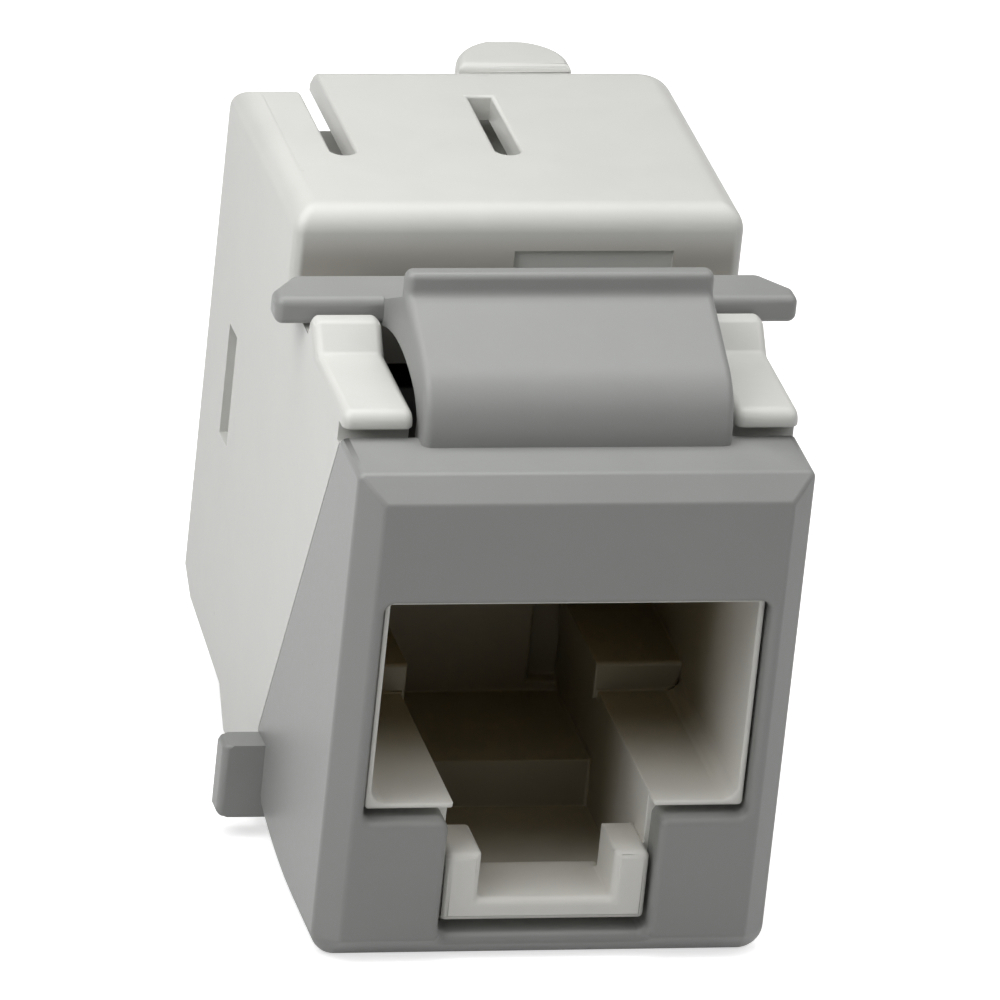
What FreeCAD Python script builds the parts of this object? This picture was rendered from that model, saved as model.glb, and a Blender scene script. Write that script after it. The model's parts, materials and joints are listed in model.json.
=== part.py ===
"""Keystone jack: a rear-terminated RJ45 socket that snaps into a wall plate or a patch panel.

Frame: origin at the bottom centre of the bezel's face, +X to the right as seen from the front,
+Y towards the rear, along the way a plug goes in, +Z up. Lengths are in millimetres.
"""
import FreeCAD, Part
import math
import os

import Sketcher

# Driving dimensions: alias, value, what it is.
SIZES = [
    ("bezel_width", 14.5, "outer width of both housings"),
    ("bezel_height", 16.5, "outer height of the bezel"),
    ("flange_depth", 3.25, "top of the bezel, front to seam"),
    ("bevel_width", 0.77, "bezel's front bevel, seen from the front"),
    ("bevel_depth", 0.7, "bezel's front bevel, along Y"),
    ("bezel_corner", 0.8, "rounding of the bezel's lower corners"),
    ("bezel_round", 0.25, "rounding of the bezel's edges"),
    ("opening_round", 0.24, "rounding of the edges of the bezel's opening"),
    ("opening_corner", 0.32, "rounding of the corners of that opening"),
    ("bezel_wall", 1.2, "thickness of the bezel's front wall"),
    ("side_wall", 0.85, "side walls of both housings"),
    ("aperture_width", 12.24, "opening in the bezel for the plug"),
    ("aperture_top", 12.32, "top of that opening"),
    ("ledge_height", 5.3, "height of the ledges that the plug slides on"),
    ("ledge_gap", 0.45, "how far the bezel's own ledge lies below the insert's"),
    ("ledge_lip", 0.15, "thickness of the insert's ledge inside the bezel"),
    ("slot_width", 6.74, "opening in the bezel for the plug's latch"),
    ("slot_bottom", 0.87, "bottom of that opening"),
    ("cavity_top", 14.3, "roof of the space inside the front housing"),
    ("keel_start", 3.8, "where the underside starts to curve up"),
    ("keel_radius", 18, "radius of the underside's curve"),
    ("seam_foot", 9.75, "rear edge of the front housing at its foot"),
    ("seam_foot_height", 3.4, "height at which the seam starts to slant"),
    ("seam_gap", 0.05, "gap along the seam between the housings"),
    ("latch_width", 9.85, "width of the latch"),
    ("latch_offset", 0.1, "how far the latch sits to the right of the middle"),
    ("latch_root", 2.5, "front of the latch where it leaves the bezel"),
    ("latch_thickness", 1.1, "thickness of the latch"),
    ("latch_round", 0.28, "rounding of the latch's side edges"),
    ("latch_foot", 0.3, "upright foot of the latch, front"),
    ("latch_heel", 0.45, "upright foot of the latch, rear"),
    ("latch_bend", 2.1, "bend of the latch above its foot"),
    ("latch_slope_depth", 2.5, "slope of the latch, along Y"),
    ("latch_slope_height", 1.06, "slope of the latch, along Z"),
    ("latch_heel_radius", 1.9, "hollow behind the latch's foot"),
    ("latch_under_radius", 6, "hollow under the latch"),
    ("lip_front", 6.45, "front of the latch's lip"),
    ("lip_depth", 0.65, "thickness of the lip"),
    ("lip_rise", 4.05, "top of the latch's lip, over the bezel's top"),
    ("lip_hollow", 0.3, "hollow in front of the lip"),
    ("lip_round", 0.22, "rounding of the lip's front edge"),
    ("ear_span", 16.75, "overall width of the latch's cross bar"),
    ("ear_offset", 0.12, "how far the cross bar sits to the right of the middle"),
    ("ear_front", 8.9, "front of the cross bar"),
    ("ear_depth", 1.8, "depth of the cross bar"),
    ("ear_rise", 2.1, "top of the cross bar, over the bezel's top"),
    ("ear_thickness", 0.92, "height of the cross bar"),
    ("ear_bevel", 0.8, "cut at the cross bar's rear corners"),
    ("ear_round", 0.28, "rounding of the cross bar"),
    ("lug_reach", 1.35, "how far the side lugs stand out"),
    ("lug_front", 8.7, "front of the side lugs"),
    ("lug_depth", 1.0, "depth of the side lugs"),
    ("lug_bottom", 0.75, "bottom of the side lugs"),
    ("lug_height", 2.5, "height of the side lugs"),
    ("lug_round", 0.22, "rounding of the side lugs"),
    ("latch_gap", 0.19, "gap between the latch and the arms on each side"),
    ("arm_rise", 0.9, "top of the arms' front part, over the bezel's top"),
    ("arm_rise_front", 7.4, "where the arms start to rise"),
    ("arm_crest_rise", 1.67, "top of the arms' rear part, over the bezel's top"),
    ("arm_tip_reach", 0.2, "how far the arms' tips reach over the bezel"),
    ("arm_tip_rise", 0.34, "underside of the arms' tips, over the bezel's top"),
    ("arm_tip_round", 0.45, "rounding of the arms' tips"),
    ("arm_groove", 0.6, "depth of the hollow under the arms' tips"),
    ("arm_rise_depth", 0.8, "length of the arms' rise"),
    ("arm_round", 0.3, "rounding of the arms' side edges"),
    ("saddle_gap", 0.12, "gap under the cross bar"),
    ("step_drop", 0.25, "how far the rear housing's front edge lies below the bezel's top"),
    ("saddle_roof", 14.9, "floor of the opening under the latch"),
    ("block_front", 11.45, "front of the raised rear block"),
    ("block_rise", 3.95, "top of the rear block, over the bezel's top"),
    ("block_round", 0.8, "rounding of the block's top edges"),
    ("block_side_round", 0.35, "rounding of the block's upright front edges"),
    ("relief_left", -0.14, "left edge of the shallow relief in the block's front"),
    ("relief_right", 5, "right edge of that relief"),
    ("relief_drop", 1.4, "how far its top lies below the block's top"),
    ("relief_depth", 0.18, "depth of that relief"),
    ("roof_corner", 1.1, "rounding of the roof's right rear corner"),
    ("recess_gap", 0.15, "gap between the cross bar and the recess for it"),
    ("wall_rear", 21.4, "rear edge of the side walls"),
    ("wall_corner", 1, "rounding of the side walls' upper rear corners"),
    ("roof_left_rear", 20.5, "rear edge of the roof left of the open wire slot"),
    ("roof_rear", 22.65, "rear edge of the block's roof"),
    ("roof_wall", 0.85, "thickness of the block's roof"),
    ("belly_bottom", 1.05, "underside of the rear housing at its front"),
    ("belly_end", 14.3, "where that underside ends"),
    ("belly_wall", 0.8, "thickness of the rear housing's underside"),
    ("chin_height", 2.15, "start of the slanting underside"),
    ("chin_rear_height", 3.5, "rear end of the slanting underside"),
    ("roof_slot_width", 0.8, "wire slots in the block's roof"),
    ("roof_slot_front", 15.7, "front end of the wire slots"),
    ("roof_slot_side", -4.8, "middle of the open wire slot"),
    ("roof_slot_mid", 0.55, "middle of the closed wire slot"),
    ("roof_slot_end", 20.3, "rear end of the closed wire slot"),
    ("window_front", 17.5, "front of the snap windows in the side walls"),
    ("window_depth", 1.1, "snap windows, along Y"),
    ("window_bottom", 9.5, "bottom of the snap windows"),
    ("window_height", 3.8, "height of the snap windows"),
    ("snap_reach", 0.35, "how far the wire cap's nibs stand out"),
    ("port_width", 11.7, "inside width of the plug's socket"),
    ("port_top", 12.15, "roof of the plug's socket"),
    ("port_corner", 0.5, "rounding where the socket's ledge meets its side walls"),
    ("port_depth", 13.0, "rear end of the plug's socket"),
    ("liner_front", 0.45, "front edge of the insert inside the aperture"),
    ("liner_gap", 0.1, "gap between the insert's front edge and the aperture"),
    ("insert_rear", 13.8, "rear face of the insert"),
    ("insert_roof", 12.5, "top of the insert"),
    ("insert_foot", 4.6, "underside of the insert beside the latch channel"),
    ("channel_width", 6.4, "width of the channel for the plug's latch"),
    ("channel_floor", 1.35, "floor of that channel"),
    ("channel_step", 8.05, "where the channel's floor steps up"),
    ("channel_rear_floor", 2.96, "floor behind the step"),
    ("insert_skin", 0.56, "thickness of the insert under the channel"),
    ("stop_front", 8.2, "front of the plug's stop blocks"),
    ("stop_height", 1, "height of the stop blocks"),
    ("stop_inner", 3.05, "inner face of the stop blocks, from the middle"),
    ("recess_left", 2.2, "left edge of the moulding recess in the socket's back wall"),
    ("recess_width", 1, "width of that recess"),
    ("recess_bottom", 3.3, "bottom of that recess"),
    ("recess_depth", 0.5, "depth of that recess"),
    ("catch_width", 6.5, "overall width of the plug's latch catch"),
    ("catch_gap", 4.25, "gap between the catch's posts"),
    ("catch_front", 0.3, "front of the catch"),
    ("catch_depth", 2.1, "depth of the catch's posts"),
    ("catch_bar_depth", 2.6, "depth of the catch's bar"),
    ("catch_bottom", 1.25, "bottom of the catch"),
    ("catch_bar_height", 0.77, "height of the catch's bar"),
    ("catch_top", 3.6, "top of the catch's posts"),
    ("catch_round", 0.28, "rounding of the catch's edges"),
    ("contact_pitch", 1.02, "spacing of the spring contacts"),
    ("contact_width", 0.36, "width of each spring contact"),
    ("contact_gauge", 0.3, "thickness of each spring contact"),
    ("contact_front", 2.4, "front of the contacts' bend"),
    ("contact_run", 12.95, "height of the contacts' straight run"),
    ("contact_tip_depth", 9.9, "tip of the contacts, along Y"),
    ("contact_tip_height", 9.3, "tip of the contacts, along Z"),
    ("carrier_groove_gap", 0.04, "side clearance of a contact in its groove"),
    ("board_thickness", 1.2, "thickness of the circuit board"),
    ("board_gap", 0.4, "gap between the circuit board and the side walls"),
    ("board_bottom", 4.4, "lower edge of the circuit board"),
    ("board_top", 18.6, "upper edge of the circuit board"),
    ("wire_pitch", 3.0, "spacing of the wire slots"),
    ("blade_width", 1.9, "width of each wire blade"),
    ("blade_gauge", 0.4, "thickness of each wire blade"),
    ("blade_slit", 0.32, "slit that grips the wire"),
    ("blade_rear", 19.3, "rear end of the wire blades"),
    ("blade_upper_height", 15.8, "height of the upper row of blades"),
    ("blade_lower_height", 8, "height of the lower row of blades"),
    ("pin_width", 0.5, "width of each blade's pin in the board"),
    ("tower_rear", 19.8, "rear face of the wire block"),
    ("tower_bottom", 5.6, "underside of the wire block"),
    ("tower_top", 18.4, "top of the wire block"),
    ("tower_slot_width", 1.1, "width of the wire slots"),
    ("tower_slot_front", 16.6, "bottom of the wire slots, along Y"),
    ("tower_rib", 1.4, "solid rib between the two rows of slots"),
    ("cap_gap", 0.15, "running gap round the wire cap"),
    ("cap_side_gap", 0.15, "gap between the wire cap's arms and the side walls"),
    ("cap_plate", 2.2, "thickness of the wire cap's plate"),
    ("cap_round", 0.3, "rounding of the wire cap's rear edges"),
    ("cap_bottom", 5.9, "underside of the wire cap"),
    ("cap_top", 18.5, "top of the wire cap's plate"),
    ("cap_bore_radius", 2.9, "cable hole in the wire cap"),
    ("cap_arm", 0.5, "thickness of the wire cap's snap arms"),
    ("pusher_depth", 1.3, "how far the cap's ribs reach into the wire slots"),
    ("pusher_width", 0.8, "width of those ribs"),
    ("tab_left", 0.45, "left edge of the wire cap's finger tab"),
    ("tab_width", 3.75, "width of the finger tab"),
    ("tab_root", 1.6, "height of the tab's root on the plate"),
    ("tab_corner", 1.45, "rounding of the tab in plan"),
    ("tab_round", 0.3, "rounding of the tab's top edge"),
    ("tab_rear", 24.9, "rear edge of the finger tab"),
    ("tab_top", 20.4, "top of the finger tab"),
]
CONTACTS = 8
WIRES_PER_ROW = 4
OVERCUT = 1.0


class Length:
    """A length with its number and the spreadsheet formula that it follows."""

    def __init__(self, value, formula):
        self.value = value
        self.formula = formula

    def _join(self, sign, other, swap=False):
        other = as_length(other)
        first, second = (other, self) if swap else (self, other)
        value = {
            "+": first.value + second.value,
            "-": first.value - second.value,
            "*": first.value * second.value,
            "/": first.value / (second.value or 1.0),
        }[sign]
        return Length(value, f"({first.formula} {sign} {second.formula})")

    def __add__(self, other):
        return self._join("+", other)

    def __radd__(self, other):
        return self._join("+", other, True)

    def __sub__(self, other):
        return self._join("-", other)

    def __rsub__(self, other):
        return self._join("-", other, True)

    def __mul__(self, other):
        return self._join("*", other)

    def __rmul__(self, other):
        return self._join("*", other, True)

    def __truediv__(self, other):
        return self._join("/", other)

    def __neg__(self):
        return Length(-self.value, f"(0 - {self.formula})")


def as_length(value):
    return value if isinstance(value, Length) else Length(float(value), repr(float(value)))


def root(length):
    return Length(math.sqrt(length.value), f"sqrt({length.formula})")


doc = FreeCAD.newDocument("keystone_jack")
sheet = doc.addObject("Spreadsheet::Sheet", "Sizes")
S = {}
for row, (alias, number, meaning) in enumerate(SIZES, start=1):
    sheet.set(f"A{row}", alias)
    sheet.set(f"B{row}", str(number))
    sheet.set(f"C{row}", meaning)
    sheet.setAlias(f"B{row}", alias)
    S[alias] = Length(number, f"Sizes.{alias}")
doc.recompute()


# Building blocks -----------------------------------------------------------------------------

PLANE_ROLES = {"XY": "XY_Plane", "XZ": "XZ_Plane", "YZ": "YZ_Plane"}
# The XZ plane's normal points along -Y, the other two along +Z and +X.
NORMAL_SIGN = {"XY": 1, "XZ": -1, "YZ": 1}


def new_body(label):
    body = doc.addObject("PartDesign::Body", label)
    body.Label = label
    return body


def bind(feature, name, length):
    length = as_length(length)
    if name.startswith("Attachment") or "." in name:
        feature.setExpression(name, length.formula)
        return
    setattr(feature, name, length.value)
    feature.setExpression(name, length.formula)


def sketch_on(body, plane, shift=0):
    sketch = body.newObject("Sketcher::SketchObject", f"{body.Name}_outline")
    role = PLANE_ROLES[plane]
    support = next(item for item in body.Origin.OriginFeatures if item.Role == role)
    sketch.AttachmentSupport = [(support, "")]
    sketch.MapMode = "FlatFace"
    along_normal = as_length(shift) * NORMAL_SIGN[plane]
    sketch.AttachmentOffset.Base = FreeCAD.Vector(0, 0, along_normal.value)
    bind(sketch, "AttachmentOffset.Base.z", along_normal)
    return sketch


def arc_through(start, end, radius):
    """Arc from start to end: centre to the left of the way for a positive radius."""
    chord = end - start
    half = chord.Length / 2
    rise = math.sqrt(max(radius * radius - half * half, 0.0))
    side = FreeCAD.Vector(-chord.y, chord.x, 0).normalize()
    centre = (start + end) / 2 + side * (rise if radius > 0 else -rise)
    first, last = (start, end) if radius > 0 else (end, start)
    angle_a = math.atan2(first.y - centre.y, first.x - centre.x)
    angle_b = math.atan2(last.y - centre.y, last.x - centre.x)
    circle = Part.Circle(centre, FreeCAD.Vector(0, 0, 1), abs(radius))
    return Part.ArcOfCircle(circle, angle_a, angle_b)


def draw(sketch, corners):
    """Closed outline. A corner is (u, v), or (u, v, radius) for an arc that leads to the next one."""
    points = [FreeCAD.Vector(as_length(c[0]).value, as_length(c[1]).value, 0) for c in corners]
    first_edge = sketch.GeometryCount
    ends = []
    for index, corner in enumerate(corners):
        start = points[index]
        end = points[(index + 1) % len(points)]
        if len(corner) == 3:
            radius = as_length(corner[2])
            number = sketch.addGeometry(arc_through(start, end, radius.value), False)
            ends.append((1, 2) if radius.value > 0 else (2, 1))
            size = sketch.addConstraint(Sketcher.Constraint("Radius", number, abs(radius.value)))
            sketch.setExpression(f"Constraints[{size}]", f"abs({radius.formula})")
        else:
            number = sketch.addGeometry(Part.LineSegment(start, end), False)
            ends.append((1, 2))
    count = len(corners)
    for index, corner in enumerate(corners):
        edge = first_edge + index
        following = (index + 1) % count
        sketch.addConstraint(Sketcher.Constraint(
            "Coincident", edge, ends[index][1], first_edge + following, ends[following][0]))
        for kind, length in (("DistanceX", corner[0]), ("DistanceY", corner[1])):
            length = as_length(length)
            number = sketch.addConstraint(Sketcher.Constraint(
                kind, -1, 1, edge, ends[index][0], length.value))
            sketch.setExpression(f"Constraints[{number}]", length.formula)


def rectangle(left, bottom, right, top):
    return [(left, bottom), (right, bottom), (right, top), (left, top)]


def centred(width, bottom, top):
    return rectangle(-as_length(width) / 2, bottom, as_length(width) / 2, top)


def mirrored(right_half):
    """Outline that is symmetric about X = 0, from its right half, bottom to top."""
    return right_half + [(-as_length(u), v) for u, v in reversed(right_half)]


def pad(body, plane, corners, length, start=0):
    """Pad towards +X, +Y or +Z from the given place along that axis."""
    sketch = sketch_on(body, plane, start)
    draw(sketch, corners)
    feature = body.newObject("PartDesign::Pad", f"{body.Name}_pad")
    feature.Profile = sketch
    bind(feature, "Length", length)
    feature.Reversed = plane == "XZ"
    return feature


def pad_across(body, corners, width):
    """Pad of a side outline (Y, Z), centred on X = 0."""
    sketch = sketch_on(body, "YZ")
    draw(sketch, corners)
    feature = body.newObject("PartDesign::Pad", f"{body.Name}_pad")
    feature.Profile = sketch
    feature.SideType = "Symmetric"
    bind(feature, "Length", width)
    return feature


def cut(body, plane, corners, length, start=0):
    """Pocket towards +X, +Y or +Z from the given place along that axis."""
    sketch = sketch_on(body, plane, start)
    draw(sketch, corners)
    feature = body.newObject("PartDesign::Pocket", f"{body.Name}_cut")
    feature.Profile = sketch
    bind(feature, "Length", length)
    feature.Reversed = plane != "XZ"
    return feature


def cut_across(body, corners, width):
    """Pocket of a side outline (Y, Z), centred on X = 0."""
    sketch = sketch_on(body, "YZ")
    draw(sketch, corners)
    feature = body.newObject("PartDesign::Pocket", f"{body.Name}_cut")
    feature.Profile = sketch
    feature.SideType = "Symmetric"
    bind(feature, "Length", width)
    return feature


def edges_where(shape, test):
    """Names of the edges whose every point passes the test."""
    names = []
    for number, edge in enumerate(shape.Edges, start=1):
        first, last = edge.ParameterRange
        points = [edge.valueAt(first + (last - first) * part) for part in (0.0, 0.5, 1.0)]
        if all(test(point) for point in points):
            names.append(f"Edge{number}")
    return names


def near(first, second, tolerance=1e-4):
    return abs(as_length(first).value - as_length(second).value) < tolerance


def round_edges(body, test, radius):
    doc.recompute()
    base = body.Tip
    feature = body.newObject("PartDesign::Fillet", f"{body.Name}_round")
    feature.Base = (base, edges_where(base.Shape, test))
    bind(feature, "Radius", radius)
    doc.recompute()
    return feature


# Front housing: bezel, hollow body, latch with cross bar, lugs ----------------------------------

EAR_TOP = S["bezel_height"] + S["ear_rise"]
LIP_TOP = S["bezel_height"] + S["lip_rise"]
ARM_TOP = S["bezel_height"] + S["arm_rise"]
ARM_RISE_TOP = S["bezel_height"] + S["arm_crest_rise"]
ARM_TIP_UNDER = S["bezel_height"] + S["arm_tip_rise"]
BLOCK_TOP = S["bezel_height"] + S["block_rise"]
SADDLE_TOP = EAR_TOP - S["ear_thickness"] - S["saddle_gap"]
LATCH_LEFT = S["latch_offset"] - S["latch_width"] / 2
LATCH_RIGHT = S["latch_offset"] + S["latch_width"] / 2


def make_front_housing():
    body = new_body("front_housing")
    width = S["bezel_width"]
    keel_run = S["seam_foot"] - S["keel_start"]
    keel_rise = S["keel_radius"] - root(S["keel_radius"] * S["keel_radius"] - keel_run * keel_run)
    pad_across(body, [
        (0, 0),
        (S["keel_start"], 0, S["keel_radius"]),
        (S["seam_foot"], keel_rise),
        (S["seam_foot"], S["seam_foot_height"]),
        (S["flange_depth"], S["bezel_height"]),
        (0, S["bezel_height"]),
    ], width)
    half = width / 2

    def lower_corner(point):
        return near(abs(point.x), half) and point.z < keel_rise.value + 0.01 and (
            near(point.z, 0) or point.y > S["keel_start"].value)

    round_edges(body, lower_corner, S["bezel_corner"])

    def at_top(point):
        return near(point.z, S["bezel_height"])

    for name, test, flip in (("bezel_bevel", lambda point: not at_top(point) or near(abs(point.x), half), True),
                             ("bezel_top_bevel", at_top, False)):
        base = body.Tip
        bevel = body.newObject("PartDesign::Chamfer", name)
        bevel.Base = (base, edges_where(base.Shape, lambda point: near(point.y, 0) and test(point)))
        bevel.ChamferType = "Two distances"
        bind(bevel, "Size", S["bevel_width"])
        bind(bevel, "Size2", S["bevel_depth"])
        bevel.FlipDirection = flip
        doc.recompute()

    def bezel_edge(point):
        across_bevel = 1e-4 < point.y < S["bevel_depth"].value - 1e-4
        at_top = point.z > S["bezel_height"].value / 2
        return (point.y < S["bevel_depth"].value + 1e-4 and (at_top or not across_bevel)) or (
            near(abs(point.x), half) and near(point.z, S["bezel_height"]))

    round_edges(body, bezel_edge, S["bezel_round"])
    inner = width - S["side_wall"] * 2
    cut(body, "XZ", mirrored([
        (S["slot_width"] / 2, S["slot_bottom"]),
        (S["slot_width"] / 2, S["ledge_height"] - S["ledge_gap"]),
        (S["aperture_width"] / 2, S["ledge_height"] - S["ledge_gap"]),
        (S["aperture_width"] / 2, S["aperture_top"]),
    ]), S["bezel_wall"] + OVERCUT, -OVERCUT)

    def opening_corner(point):
        across = near(abs(point.x), S["aperture_width"] / 2) or near(abs(point.x), S["slot_width"] / 2)
        return across and any(near(point.z, level) for level in (
            S["slot_bottom"], S["ledge_height"] - S["ledge_gap"], S["aperture_top"])) and point.y < S["bezel_wall"].value + 1e-3

    round_edges(body, opening_corner, S["opening_corner"])

    def opening_edge(point):
        return near(point.y, 0) and abs(point.x) < S["aperture_width"].value / 2 + 1e-3 and (
            S["slot_bottom"].value - 1e-3 < point.z < S["aperture_top"].value + 1e-3)

    round_edges(body, opening_edge, S["opening_round"])
    cut(body, "XZ", mirrored([
        (S["slot_width"] / 2 + S["side_wall"], S["slot_bottom"]),
        (S["slot_width"] / 2 + S["side_wall"], S["insert_foot"]),
        (inner / 2, S["insert_foot"]),
        (inner / 2, S["cavity_top"]),
    ]), S["seam_foot"] + OVERCUT, S["bezel_wall"])
    add_latch(body)
    add_lugs(body)
    return body


def add_latch(body):
    top = S["bezel_height"]
    root_front = S["latch_root"]
    thickness = S["latch_thickness"]
    rear = S["ear_front"] + S["ear_depth"]
    lip_rear = S["lip_front"] + S["lip_depth"]
    ear_bottom = EAR_TOP - S["ear_thickness"]
    hollow = S["lip_hollow"]
    slope = root(S["latch_slope_depth"] * S["latch_slope_depth"] + S["latch_slope_height"] * S["latch_slope_height"])
    along, upward = S["latch_slope_depth"] / slope, S["latch_slope_height"] / slope
    bend = S["latch_bend"]
    bend_end = (root_front + bend * (1 - upward), top + S["latch_foot"] + bend * along)
    crest_depth = S["lip_front"] - hollow * (1 - upward)
    crest = bend_end[1] + (crest_depth - bend_end[0]) * upward / along
    lip_round = S["lip_round"]
    pad(body, "YZ", [
        (root_front, top - OVERCUT / 2),
        (root_front + thickness, top - OVERCUT / 2),
        (root_front + thickness, top + S["latch_heel"], -S["latch_heel_radius"]),
        (bend_end[0] + thickness / 2, bend_end[1] - thickness, -S["latch_under_radius"]),
        (S["ear_front"], ear_bottom),
        (rear, ear_bottom),
        (rear, EAR_TOP),
        (S["ear_front"], EAR_TOP),
        (lip_rear, crest - hollow),
        (lip_rear, LIP_TOP - lip_round, lip_round),
        (lip_rear - lip_round, LIP_TOP),
        (S["lip_front"] + lip_round, LIP_TOP, lip_round),
        (S["lip_front"], LIP_TOP - lip_round),
        (S["lip_front"], crest + hollow * along, -hollow),
        (crest_depth, crest),
        (bend_end[0], bend_end[1], bend),
        (root_front, top + S["latch_foot"]),
    ], S["latch_width"], LATCH_LEFT)
    sides = (LATCH_LEFT.value, LATCH_RIGHT.value)

    def side_edge(point):
        share = (point.y - root_front.value) / (S["lip_front"].value - root_front.value)
        above = point.z > top.value + share * (crest.value - top.value) - 1e-3
        return min(abs(point.x - side) for side in sides) < 1e-4 and above and point.z > top.value - 1e-4 and (
            point.y < lip_rear.value + 1e-3)

    round_edges(body, side_edge, S["latch_round"])

    left, right = S["ear_offset"] - S["ear_span"] / 2, S["ear_offset"] + S["ear_span"] / 2
    pad(body, "XY", [
        (left, S["ear_front"]),
        (right, S["ear_front"]),
        (right, rear - S["ear_bevel"] * 1.25),
        (right - S["ear_bevel"], rear),
        (left + S["ear_bevel"], rear),
        (left, rear - S["ear_bevel"] * 1.25),
    ], S["ear_thickness"], ear_bottom)

    def ear_edge(point):
        level = near(point.z, ear_bottom) or near(point.z, EAR_TOP)
        past_latch = abs(point.x - S["latch_offset"].value) - S["latch_width"].value / 2
        beside, outside = past_latch > 0.1, past_latch > -1e-3
        return outside and (level or beside) and point.y > S["ear_front"].value - 1e-3 and (
            ear_bottom.value - 1e-3 < point.z < EAR_TOP.value + 1e-3)

    round_edges(body, ear_edge, S["ear_round"])


def add_lugs(body):
    half = S["bezel_width"] / 2
    for side in (-1, 1):
        inner = half - S["side_wall"] / 2
        outer = half + S["lug_reach"]
        left, right = (inner, outer) if side > 0 else (-outer, -inner)
        pad(body, "XY", rectangle(left, S["lug_front"], right, S["lug_front"] + S["lug_depth"]),
            S["lug_height"], S["lug_bottom"])

    def lug_edge(point):
        return abs(point.x) > half.value + 1e-3 and point.z < S["bezel_height"].value / 2

    round_edges(body, lug_edge, S["lug_round"])


# Rear housing: side walls, arms beside the latch, raised block with wire slots ------------------

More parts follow.
